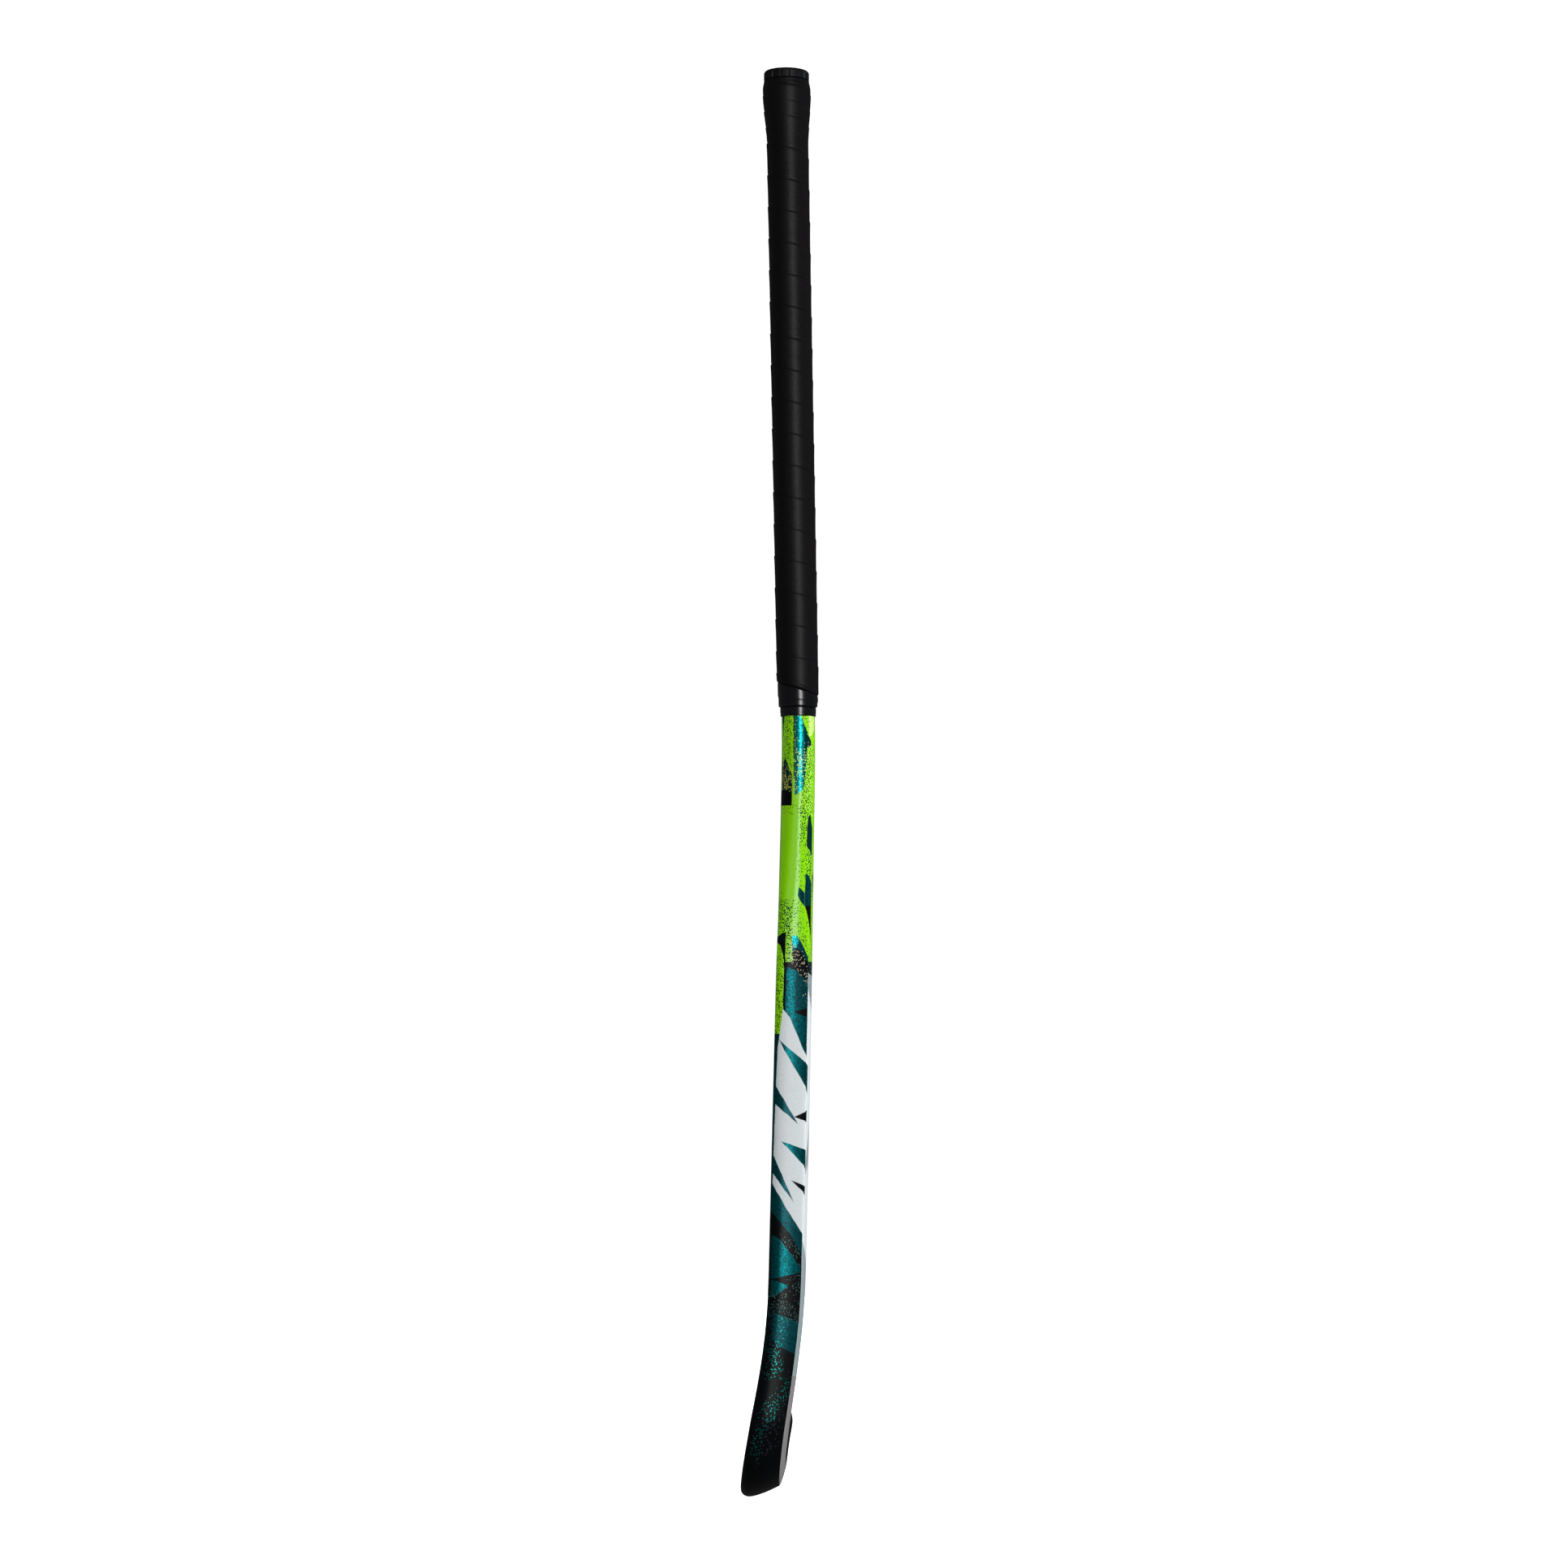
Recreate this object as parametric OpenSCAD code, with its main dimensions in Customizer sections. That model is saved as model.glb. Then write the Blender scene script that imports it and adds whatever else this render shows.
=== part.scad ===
// Field hockey stick, standing on its curved head, butt end up.
// +Z runs up the handle, the flat playing face looks towards -X, the rounded back
// towards +X, the heel edge towards -Y and the toe of the hook towards +Y.
// The origin is the middle of the underside of the bounding box.

/* [Overall] */
// Height from the lowest point of the head to the top of the butt cap, mm
stick_len = 927; // [880:1:960]
// Height of the middle of the hook's bend above the ground, mm
bend_z = 57; // [54:0.5:60]
// Radius of the centre line of the hook, mm
bend_r = 40; // [38:0.5:42]
// How far round the hook the toe reaches, degrees
toe_turn = 158; // [140:1:165]
// Length of the rounded end of the toe, mm
toe_round = 16; // [12:0.5:20]

/* [Bow] */
// Lean of the handle away from the upright, mm of -X per mm of height
handle_lean = 0.0184; // [0.01:0.001:0.025]
// Lean of the middle of the shaft the other way
shaft_lean = 0.0232; // [0.015:0.001:0.03]
// Extra lean of the playing face at the head
head_lean = 0.172; // [0.12:0.004:0.2]

/* [Cross section] */
// Half width of the bare handle, mm
handle_half_w = 14.5; // [14:0.1:15.5]
// Half width of the shaft just above the bend, mm
shaft_half_w = 23.4; // [22:0.1:24]
// Half width of the head at the lowest point of the hook, mm
head_half_w = 17; // [16:0.1:18]
// Thickness of the bare handle from face to back, mm
handle_t = 21.6; // [21:0.1:23]
// Thickness of the shaft above the bend, mm
shaft_t = 23; // [22:0.1:24]
// Extra thickness of the head, mm
head_swell = 3.3; // [2:0.1:3.5]
// Height of the arched back above its two shoulders, mm
arch_h = 1.8; // [1.2:0.1:2.5]
// The same at the head
head_arch_h = 1.1; // [0.8:0.1:1.5]
// Rounding of the playing face's edges, mm
face_round = 5.5; // [4:0.1:7]
// How far the shoulder stands in from the widest part of the side, mm
shoulder_in = 5.6; // [5:0.1:6]
// The same at the head
head_shoulder_in = 7.2; // [6:0.1:7.5]
// Thickness of the moulded laminate, mm
wall = 2.4; // [2:0.1:3]

/* [Grip] */
// Height of the lower end of the grip, mm
grip_z = 519.6; // [505:0.1:535]
// Thickness of the grip strip, mm
grip_t = 2.65; // [2.3:0.05:2.9]
// Height of one turn of the strip, mm
grip_pitch = 20.7; // [18:0.1:24]
// How far an overlapping turn stands proud of the one above, mm
grip_step = 0.45; // [0.2:0.05:0.6]
// Build-up under the grip at the butt, mm
flare_t = 2; // [1.5:0.1:2.5]

/* [Butt cap] */
// Height of the visible rim of the cap, mm
cap_rim_h = 6; // [5:0.5:8]
// Number of upright notches in the rim
cap_notches = 16; // [8:2:24]
// Width of one notch, mm
notch_w = 0.9; // [0.6:0.1:1.5]

/* [Hidden] */
$fn = 32;

gap = 0.15;              // clearance between neighbouring pieces
skin_gap = 0.05;         // and of what is wrapped on the handle
bend_y = -shaft_shift_y(); // Y of the middle of the hook
axis_y = bend_y - bend_r;  // Y of the handle's axis
cap_z = stick_len - cap_rim_h;
flare_len = 42;
cap_tuck = 0.75;         // how much the grip draws in towards the cap's rim
cap_edge_r = 2;          // rounding of the cap's upper edge
flare_z = cap_z - 0.4 - flare_len;
tube_wall = 1.1;
film_t = 0.35;
tube_end_z = 84;         // the tubes stop here, above the head core
plug_len = 48;
backing_t = 0.3;
tape_h = 12;
tape_t = 2.25;           // finishing tape's height above the bare handle
slant_h = 8.8;           // how much higher the grip ends at the face than at the back
slant_len = 25;
collar_h = 6;

// Half the difference between what the hook reaches each side of its middle
function shaft_shift_y() = (head_half_w + 0.6 - shaft_half_w) / 2;

// Smooth step from 0 to 1 and its running integral
function clamp01(v) = min(1, max(0, v));
function ease(v) = clamp01(v) * clamp01(v) * (3 - 2 * clamp01(v));
function ease_sum(v) = v <= 0 ? 0 : v < 1 ? pow(v, 3) - pow(v, 4) / 2 : v - 0.5;
function mix(a, b, k) = a + (b - a) * k;

// X of the playing face at height z, before centring: the bow of the stick
upper_z = 520;
// Share of the swell that is gone again at the toe
toe_slim = 0.5;
upper_len = 70;
lower_z = 158;
lower_len = 100;
function face_x0(z) = -handle_lean * (z - upper_z)
    - (handle_lean + shaft_lean) * upper_len * ease_sum((upper_z - z) / upper_len)
    - head_lean * lower_len * ease_sum((lower_z - z) / lower_len);

// Section sizes along the path. Path value q is minus the height above the bend on the
// straight part, and the angle in degrees round the hook
function q_z(q) = q <= 0 ? bend_z - q : bend_z - bend_r * sin(q);
function half_w(q) = q <= 0
    ? mix(shaft_half_w, handle_half_w, ease((q_z(q) - 90) / 430))
    : mix(shaft_half_w, head_half_w, ease(q / 80));
function thick(q) = mix(shaft_t, handle_t, ease((q_z(q) - 250) / 260))
    + head_swell * ease((104 - q_z(q)) / 100) * (1 - toe_slim * ease((q - 105) / 50));
function inset(q) = q <= 0 ? shoulder_in : mix(shoulder_in, head_shoulder_in, ease(q / 70));
function arch(q) = q <= 0 ? arch_h : mix(arch_h, head_arch_h, ease(q / 70));
// 0 where the section has sharp shoulders, 1 where it is oval
function ovalness(q) = ease((q_z(q) - 335) / 120);

// Half of a section from the face round the heel side to the back, as [t, u] pairs.
// off shrinks it inwards, web keeps it clear of the middle
widest = 0.25;           // part of the thickness at which the side stands furthest out
side_curve = 1.5;        // how it falls from there to the shoulder
function d_half(w, t, h, k, rf, web) =
    let (tm = max(rf, widest * t), wf = w - rf, ws = w - k, ts = t - h)
    concat(
        [for (i = [0 : 2]) [0, -mix(web, wf, i / 3)]],
        [for (i = [0 : 4]) [tm * (1 - cos(i * 22.5)), -(wf + rf * sin(i * 22.5))]],
        [for (i = [1 : 2]) [mix(tm, ts, i / 3), -(w - k * pow(i / 3, side_curve))]],
        [for (i = [0 : 6]) let (u = mix(ws, web, i / 6))
            [t - h * pow(u / ws, 2), -u]]);

function to_oval(p, w, t, k) =
    let (a = atan2(-p[1] / w, 1 - 2 * p[0] / t))
    [mix(p[0], t / 2 * (1 - cos(a)), k), mix(p[1], -w * sin(a), k)];

function half_section(q, off, web) =
    let (w = half_w(q) - off, t = thick(q) - 2 * off,
         k = max(0.4, inset(q)), h = arch(q), rf = max(1.5, face_round - off),
         d = d_half(w, t, h, k, rf, web))
    [for (p = d) let (o = to_oval(p, w, t, ovalness(q)))
        [o[0] + off, web > 0 ? min(-web, o[1]) : o[1]]];

// Whole section: the half and its mirror image
function section(q, off) =
    let (s = half_section(q, off, 0), n = len(s))
    concat(s, [for (i = [n - 2 : -1 : 1]) [s[i][0], -s[i][1]]]);

// Half section closed by a straight web, on the heel side or mirrored to the toe side
function pod(q, off, web, side) =
    let (s = half_section(q, off, web), n = len(s), a = s[0], b = s[n - 1],
         p = concat(s, [for (i = [1 : 3]) [mix(b[0], a[0], i / 4), -web]]))
    side < 0 ? p : [for (i = [len(p) - 1 : -1 : 0]) [p[i][0], -p[i][1]]];

// Puts a section point in space: q along the path, e further along its end direction
function place(q, p, e) =
    let (y = q <= 0 ? axis_y + p[1] : bend_y - (bend_r - p[1]) * cos(q) + e * sin(q),
         z = q <= 0 ? q_z(q) : bend_z - (bend_r - p[1]) * sin(q) - e * cos(q))
    [face_x0(z) + p[0] - origin_x, y, z];

function ring(q, off) = [for (p = section(q, off)) place(q, p, 0)];

// Rings that round off the toe: each is smaller and further along
function toe_ring(f, off) =
    let (k = pow(1 - pow(f, 2.2), 1 / 2.2), s = section(toe_turn, off),
         c = [thick(toe_turn) * 0.42, 0])
    [for (p = s) place(toe_turn, c + (p - c) * k, (toe_round - off) * f)];

// Path values from height z1 down to height z0, and round the hook
function down(z1, z0, n) = [for (i = [0 : n]) bend_z - mix(z1, z0, i / n)];
function round_hook(a1, n) = [for (i = [1 : n]) a1 * i / n];

outer_q = concat(down(cap_z - 0.5, grip_z, 4), down(grip_z - 18, 190, 13),
                 down(172, bend_z, 10), round_hook(toe_turn, 24));
inner_q = concat(down(cap_z - 0.5, 200, 8), down(160, bend_z, 6),
                 round_hook(toe_turn - 8, 15));
toe_steps = [0.35, 0.62, 0.82, 0.94, 0.995];

// Where the widest points lie, so the origin can sit under the middle of them
lowest_x = min([for (a = [60 : 2 : toe_turn]) for (p = section(a, 0))
    let (z = bend_z - (bend_r - p[1]) * sin(a)) face_x0(z) + p[0]]);
highest_x = max([for (z = [grip_z + 2 : 4 : cap_z])
    face_x0(z) + thick(bend_z - z) + grip_t + grip_step + flare(z)]);
origin_x = (lowest_x + highest_x) / 2;

// Middle of a ring of points
function middle(r) = [for (j = [0 : 2]) let (c = [for (p = r) p[j]])
    (c * [for (v = c) 1]) / len(r)];

// Closed solid through rings that all have the same number of points
module loft(rings) {
    n = len(rings[0]);
    m = len(rings);
    c = n * m;
    side = [for (j = [0 : m - 2]) for (i = [0 : n - 1])
        let (a = j * n + i, b = j * n + (i + 1) % n)
        for (f = [[a, b, a + n], [b, b + n, a + n]]) f];
    first = [for (i = [0 : n - 1]) [c, (i + 1) % n, i]];
    last = [for (i = [0 : n - 1]) let (o = (m - 1) * n) [c + 1, o + i, o + (i + 1) % n]];
    polyhedron(points = concat([for (r = rings) for (p = r) p],
                               [middle(rings[0]), middle(rings[m - 1])]),
               faces = concat(side, first, last), convexity = 8);
}

// Closed solid between an outer skin and an inner skin, open at the first ring.
// When through is true both ends are open, otherwise both skins end closed
module hollow(outer, inner, through) {
    n = len(outer[0]);
    m = len(outer);
    k = len(inner);
    o = m * n;
    skin = [for (j = [0 : m - 2]) for (i = [0 : n - 1])
        let (a = j * n + i, b = j * n + (i + 1) % n)
        for (f = [[a, b, a + n], [b, b + n, a + n]]) f];
    lining = [for (j = [0 : k - 2]) for (i = [0 : n - 1])
        let (a = o + j * n + i, b = o + j * n + (i + 1) % n)
        for (f = [[a, a + n, b], [b, a + n, b + n]]) f];
    rim = [for (i = [0 : n - 1])
        let (a = i, b = (i + 1) % n)
        for (f = [[a, o + a, b], [b, o + a, o + b]]) f];
    far_o = (m - 1) * n;
    far_i = o + (k - 1) * n;
    c = o + k * n;
    ends = through
        ? [for (i = [0 : n - 1]) let (b = (i + 1) % n)
            for (f = [[far_o + i, far_o + b, far_i + i],
                      [far_o + b, far_i + b, far_i + i]]) f]
        : [for (i = [0 : n - 1]) let (b = (i + 1) % n)
            for (f = [[c, far_o + i, far_o + b], [c + 1, far_i + b, far_i + i]]) f];
    polyhedron(points = concat([for (r = outer) for (p = r) p],
                               [for (r = inner) for (p = r) p],
                               through ? [] : [middle(outer[m - 1]), middle(inner[k - 1])]),
               faces = concat(skin, lining, rim, ends), convexity = 8);
}

// Moulded laminate shaft and hook, hollow inside
module shell() {
    color([0.07, 0.45, 0.42])
    hollow(concat([for (q = outer_q) ring(q, 0)], [for (f = toe_steps) toe_ring(f, 0)]),
           [for (q = inner_q) ring(q, wall)], false);
}

// The two tubes side by side inside the shaft; their flat sides form its centre rib
tube_q = down(cap_z - plug_len - 2, tube_end_z, 14);
module tube(side) {
    color([0.12, 0.12, 0.13])
    hollow([for (q = tube_q) [for (p = pod(q, wall + gap, gap, side)) place(q, p, 0)]],
           [for (q = tube_q)
               [for (p = pod(q, wall + gap + tube_wall, gap + tube_wall, side))
                   place(q, p, 0)]], true);
}
module tube_heel() { tube(-1); }
module tube_toe() { tube(1); }

// Thin nylon bladders left inside the tubes after moulding, closed at the lower end
film_q = down(cap_z - plug_len - 4, tube_end_z + 6, 9);
film_in_q = down(cap_z - plug_len - 4, tube_end_z + 6 + film_t, 9);
module bladder(side) {
    depth = wall + 2 * gap + tube_wall;
    color([0.85, 0.8, 0.7])
    hollow([for (q = film_q)
               [for (p = pod(q, depth, 2 * gap + tube_wall, side)) place(q, p, 0)]],
           [for (q = film_in_q)
               [for (p = pod(q, depth + film_t, 2 * gap + tube_wall + film_t, side))
                   place(q, p, 0)]], false);
}
module bladder_heel() { bladder(-1); }
module bladder_toe() { bladder(1); }

// Dense foam core that fills the hook below the tubes
core_q = concat(down(tube_end_z - 1, bend_z, 2), round_hook(toe_turn - 9, 16));
module head_core() {
    color([0.8, 0.7, 0.45])
    loft([for (q = core_q) ring(q, wall + gap)]);
}

// Rigid foam block that closes the top of the tubes and holds the cap's spigot
plug_q = down(cap_z - 0.5, cap_z - plug_len, 2);
spigot_r = 5;
spigot_len = 18;
cap_c = [face_x0(cap_z) + thick(bend_z - cap_z) / 2 - origin_x, axis_y];
module butt_plug() {
    color([0.9, 0.82, 0.6])
    difference() {
        loft([for (q = plug_q) ring(q, wall + gap)]);
        translate([cap_c[0], cap_c[1], cap_z - spigot_len - 1])
            cylinder(r = spigot_r + gap, h = spigot_len + 2);
    }
}

// Build-up outside the bare handle at height z
function flare(z) = flare_t * ease((z - flare_z) / (flare_len - 8));
function sleeve(zs, off_of_z) = [for (z = zs) ring(bend_z - z, off_of_z(z))];
// The same with each point raised by rise(z) at the face, nothing at the back
function lifted(z, p, rise) = let (mid = thick(bend_z - z) / 2)
    place(bend_z - z - rise * (1 + (mid - p[0]) / norm([p[0] - mid, p[1]])) / 2, p, 0);
function slant_sleeve(zs, off, rise) = [for (z = zs)
    [for (p = section(bend_z - z, off(z))) lifted(z, p, rise(z))]];
// The grip is cut off on a slant, so its last part rises towards the face
grip_rise = function (z) slant_h * ease((grip_z + slant_len - z) / slant_len);
function steps(z1, z0, n) = [for (i = [0 : n]) mix(z1, z0, i / n)];

// Tapered build-up ring that swells the butt end under the grip
module butt_flare() {
    zs = steps(cap_z - 0.6, flare_z + 4, 7);
    color([0.16, 0.16, 0.17])
    hollow(sleeve(zs, function (z) -backing_t - flare(z)),
           sleeve(zs, function (z) -skin_gap), true);
}

// Double sided adhesive tape between the bare handle and the grip
module grip_backing() {
    zs = steps(flare_z + 3, grip_z + 1, 3);
    color([0.75, 0.7, 0.6])
    hollow(slant_sleeve(zs, function (z) -backing_t, grip_rise),
           slant_sleeve(zs, function (z) -skin_gap, grip_rise), true);
}

// Cushion strip wound down the handle: each turn's upper edge lies over the turn above
turns_z0 = grip_z + slant_h;
function seam_phase(z, a) = let (v = (turns_z0 - z) / grip_pitch + a / 360) v - floor(v);
function turn_bump(ph) = grip_step * pow(1 - ph, 2);
function wrap_ring(z) =
    let (s = section(bend_z - z, -backing_t - skin_gap), n = len(s),
         c = [thick(bend_z - z) / 2, 0],
         ends = ease((cap_z - 0.6 - z) / 4) * ease((z - grip_z + 1.5) / 2),
         tuck = cap_tuck * (1 - ease((cap_z - z) / 6.5)),
         body = grip_t - backing_t - skin_gap + flare(z) - tuck)
    [for (i = [0 : n - 1])
        let (d = (s[i] - c) / norm(s[i] - c),
             bump = turn_bump(seam_phase(z, 360 * (n - i) / n)) * ends)
        lifted(z, s[i] + d * (body + bump), grip_rise(z))];
wrap_n = 5;
wrap_zs = steps(cap_z - 0.6, grip_z, round((cap_z - grip_z) / grip_pitch) * wrap_n);
module grip_wrap() {
    zs = steps(cap_z - 0.6, grip_z, 12);
    color([0.09, 0.085, 0.09])
    hollow([for (z = wrap_zs) wrap_ring(z)],
           slant_sleeve(zs, function (z) -backing_t - skin_gap - flare(z), grip_rise), true);
}

// Glossy tape band that holds down the end of the grip
module finish_tape() {
    top = grip_z - 0.3;
    low = top - tape_h + collar_h - 1;
    zs = steps(top, low, 5);
    rise = function (z) slant_h * ease((z - low) / (top - low));
    color([0.05, 0.055, 0.065])
    hollow(slant_sleeve(zs, function (z) -tape_t + 0.4 * ease(((top + low) / 2 - z) / 3), rise),
           slant_sleeve(zs, function (z) -skin_gap, rise), true);
}

// Narrow band below it, flush with the paint line
module collar_band() {
    top = grip_z - 0.6 - tape_h + collar_h - 1;
    zs = steps(top, top - collar_h, 4);
    color([0.05, 0.055, 0.065])
    hollow(sleeve(zs, function (z) -0.9 + 0.2 * ease((top - 3 - z) / 1.5)),
           sleeve(zs, function (z) -skin_gap), true);
}

// Moulded butt cap: oval disc with an upright-notched rim, and a round spigot
cap_a = handle_t / 2 + flare_t + grip_t - cap_tuck;
cap_b = handle_half_w + flare_t + grip_t - cap_tuck;
module cap_oval(grow, z, h) {
    translate([cap_c[0], cap_c[1], z])
        linear_extrude(height = h)
            polygon([for (i = [0 : 63])
                [(cap_a + grow) * cos(i * 5.625), (cap_b + grow) * sin(i * 5.625)]]);
}
cap_steps = 5;
module end_cap() {
    color([0.1, 0.1, 0.105])
    difference() {
        union() {
            for (i = [0 : cap_steps])
                let (a = 90 * i / cap_steps)
                cap_oval(cap_edge_r * (cos(a) - 1), cap_z, cap_rim_h - cap_edge_r * (1 - sin(a)));
            translate([cap_c[0], cap_c[1], cap_z - spigot_len])
                cylinder(r = spigot_r, h = spigot_len + 1);
        }
        for (i = [0 : cap_notches - 1])
            let (a = (i + 0.5) * 360 / cap_notches)
            translate([cap_c[0] + cap_a * cos(a), cap_c[1] + cap_b * sin(a), cap_z - 1])
                rotate([0, 0, atan2(sin(a) / cap_b, cos(a) / cap_a)])
                    translate([-0.7, -notch_w / 2, 0])
                        cube([3, notch_w, cap_rim_h + 2]);
    }
}

shell();
tube_heel();
tube_toe();
bladder_heel();
bladder_toe();
head_core();
butt_plug();
butt_flare();
grip_backing();
grip_wrap();
finish_tape();
collar_band();
end_cap();
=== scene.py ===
import math

import bmesh
import bpy
from bpy.props import FloatProperty, IntProperty, PointerProperty, StringProperty
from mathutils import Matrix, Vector


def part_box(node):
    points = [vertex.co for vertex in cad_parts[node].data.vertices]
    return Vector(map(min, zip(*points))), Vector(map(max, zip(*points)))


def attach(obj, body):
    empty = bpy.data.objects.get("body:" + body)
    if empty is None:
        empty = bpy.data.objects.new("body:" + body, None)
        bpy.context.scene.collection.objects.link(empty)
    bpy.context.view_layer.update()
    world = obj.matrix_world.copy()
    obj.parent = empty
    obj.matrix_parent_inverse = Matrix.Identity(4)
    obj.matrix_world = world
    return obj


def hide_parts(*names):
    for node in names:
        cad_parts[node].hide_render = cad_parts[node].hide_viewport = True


bl_info = {
    "name": "Field hockey stick",
    "version": (1, 0, 0),
    "blender": (4, 5, 0),
    "location": "View3D > Sidebar > Stick",
    "description": "Builds the painted shaft, wound grip, tapes, butt cap and studio",
    "category": "Object",
}

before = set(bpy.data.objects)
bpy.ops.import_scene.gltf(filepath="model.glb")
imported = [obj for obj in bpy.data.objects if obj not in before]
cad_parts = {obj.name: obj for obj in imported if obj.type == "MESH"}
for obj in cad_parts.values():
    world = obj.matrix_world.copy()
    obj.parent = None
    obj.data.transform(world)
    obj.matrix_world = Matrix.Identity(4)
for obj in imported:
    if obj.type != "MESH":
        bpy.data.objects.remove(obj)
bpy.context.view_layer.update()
MM = 0.001

# ---------------------------------------------------------------- shape of the stick
# Sizes in mm, the same path and section as the laminate's
BEND_Z, BEND_R, TOE_TURN, TOE_ROUND = 57.0, 40.0, 158.0, 16.0
HANDLE_LEAN, SHAFT_LEAN, HEAD_LEAN = 0.0184, 0.0232, 0.172
UPPER_Z, UPPER_LEN, LOWER_Z, LOWER_LEN = 520.0, 70.0, 158.0, 100.0
HANDLE_HALF_W, SHAFT_HALF_W, HEAD_HALF_W = 14.5, 23.4, 17.0
HANDLE_T, SHAFT_T, HEAD_SWELL = 21.6, 23.0, 3.3
FACE_ROUND, WIDEST, SIDE_CURVE = 5.5, 0.25, 1.5
GRIP_T, TAPE_T = 2.65, 2.25
CAP_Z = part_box("grip_wrap")[1].z / MM
GRIP_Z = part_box("grip_wrap")[0].z / MM
SLANT, SLANT_LEN = 8.8, 25.0  # rise of the grip's cut end at the face, and its fade
FLARE_T, FLARE_LEN = 2.0, 42.0  # build-up at the butt
TOE_SLIM = 0.5  # share of the head's swell that is gone again at the toe
SKIN_IN = 0.1  # how far the hook's skin stays inside the laminate
CAP_TUCK, CAP_RIM, CAP_EDGE = 0.75, 6.0, 2.0  # grip behind the cap, the cap's rim and edge


def clamp01(v):
    return min(1.0, max(0.0, v))


def ease(v):
    v = clamp01(v)
    return v * v * (3 - 2 * v)


def ease_sum(v):
    if v <= 0:
        return 0.0
    return v**3 - v**4 / 2 if v < 1 else v - 0.5


def mix(a, b, k):
    return a + (b - a) * k


def face_x(z):
    """X of the playing face at height z, before centring."""
    upper = (HANDLE_LEAN + SHAFT_LEAN) * UPPER_LEN * ease_sum((UPPER_Z - z) / UPPER_LEN)
    lower = HEAD_LEAN * LOWER_LEN * ease_sum((LOWER_Z - z) / LOWER_LEN)
    return -HANDLE_LEAN * (z - UPPER_Z) - upper - lower


def height(q):
    return BEND_Z - q if q <= 0 else BEND_Z - BEND_R * math.sin(math.radians(q))


def half_width(q):
    if q <= 0:
        return mix(SHAFT_HALF_W, HANDLE_HALF_W, ease((height(q) - 90) / 430))
    return mix(SHAFT_HALF_W, HEAD_HALF_W, ease(q / 80))


def thickness(q):
    swell = HEAD_SWELL * ease((104 - height(q)) / 100)
    swell *= 1 - TOE_SLIM * ease((q - 105) / 50)
    return mix(SHAFT_T, HANDLE_T, ease((height(q) - 250) / 260)) + swell


def shoulder_inset(q):
    return 5.6 if q <= 0 else mix(5.6, 7.2, ease(q / 70))


def arch(q):
    return 1.8 if q <= 0 else mix(1.8, 1.1, ease(q / 70))


def ovalness(q):
    return ease((height(q) - 335) / 120)


FACE_N, CORNER_N, SIDE_N, BACK_N = 5, 9, 8, 12
SIDE = 21.0  # mm of the paint's layout from the face to the shoulder


def half_section(q, off=0.0):
    """Points (t, u, s) from the middle of the face round the heel side to the back.
    t is the distance behind the face, u across it, s the paint's own coordinate:
    -0.5 in the middle of the face, 0 to about 1 over the side as far as the shoulder, 1.5
    in the middle of the back."""
    w, t = half_width(q) - off, thickness(q) - 2 * off
    k, h, rf = max(0.4, shoulder_inset(q)), arch(q), max(1.5, FACE_ROUND - off)
    tm, wf, ws, ts = max(rf, WIDEST * t), w - rf, w - k, t - h
    pts = [(0.0, -wf * i / FACE_N) for i in range(FACE_N)]
    for i in range(CORNER_N + 1):
        a = math.pi / 2 * i / CORNER_N
        pts.append((tm * (1 - math.cos(a)), -(wf + rf * math.sin(a))))
    for i in range(1, SIDE_N):
        f = i / SIDE_N
        pts.append((mix(tm, ts, f), -(w - k * f**SIDE_CURVE)))
    # the shoulder is a fine rounded edge, two points either side of it
    pts.append((ts - 0.25, -(ws + 0.12)))
    pts.append((ts + 0.02, -(ws - 0.12)))
    for i in range(1, BACK_N + 1):
        u = ws * (1 - i / BACK_N)
        pts.append((t - h * (u / ws) ** 2, -u))
    k_oval = ovalness(q)
    out = []
    for j, (pt, pu) in enumerate(pts):
        a = math.atan2(-pu / w, 1 - 2 * pt / t)
        p = (mix(pt, t / 2 * (1 - math.cos(a)), k_oval), mix(pu, -w * math.sin(a), k_oval))
        first_side, last_side = FACE_N, FACE_N + CORNER_N + SIDE_N
        if j < first_side:
            s = -0.5 * (1 - j / first_side)
        elif j <= last_side:
            s = side_end = p[0] / max(ts, SIDE)
        else:
            s = mix(side_end, 1.5, (j - last_side) / (len(pts) - 1 - last_side))
        out.append((p[0] + off, p[1], s))
    return out


def full_section(q, off=0.0):
    """Whole section starting at the face's heel edge, so the paint's seam is there."""
    half = half_section(q, off)
    n = len(half)
    ring = half[:] + [(t, -u, 3.0 - s) for t, u, s in half[n - 2 : 0 : -1]]
    ring = ring[FACE_N:] + [(t, u, s + 4 if s < 0 else s) for t, u, s in ring[:FACE_N]]
    return ring


NOTCH, GROOVE = 0.8, 0.25  # depths in the cap's rim and top

# The laminate's own extent gives the sideways places
AXIS_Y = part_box("shell")[0].y / MM + SHAFT_HALF_W
BEND_Y = AXIS_Y + BEND_R
CAP_LO, CAP_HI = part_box("end_cap")
CAP_X = (CAP_LO.x + CAP_HI.x) / 2 / MM
ORIGIN_X = face_x(CAP_HI.z / MM - CAP_RIM) + HANDLE_T / 2 - CAP_X


def place(q, t, u, e=0.0):
    """Point in space, mm: q along the path, e beyond its end."""
    if q <= 0:
        y, z = AXIS_Y + u, height(q)
    else:
        c, s = math.cos(math.radians(q)), math.sin(math.radians(q))
        y = BEND_Y - (BEND_R - u) * c + e * s
        z = BEND_Z - (BEND_R - u) * s - e * c
    return Vector((face_x(z) + t - ORIGIN_X, y, z))


def along(q):
    """Distance along the path, mm: the height on the straight part, then negative."""
    return BEND_Z - q if q <= 0 else BEND_Z - math.radians(q) * BEND_R


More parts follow.
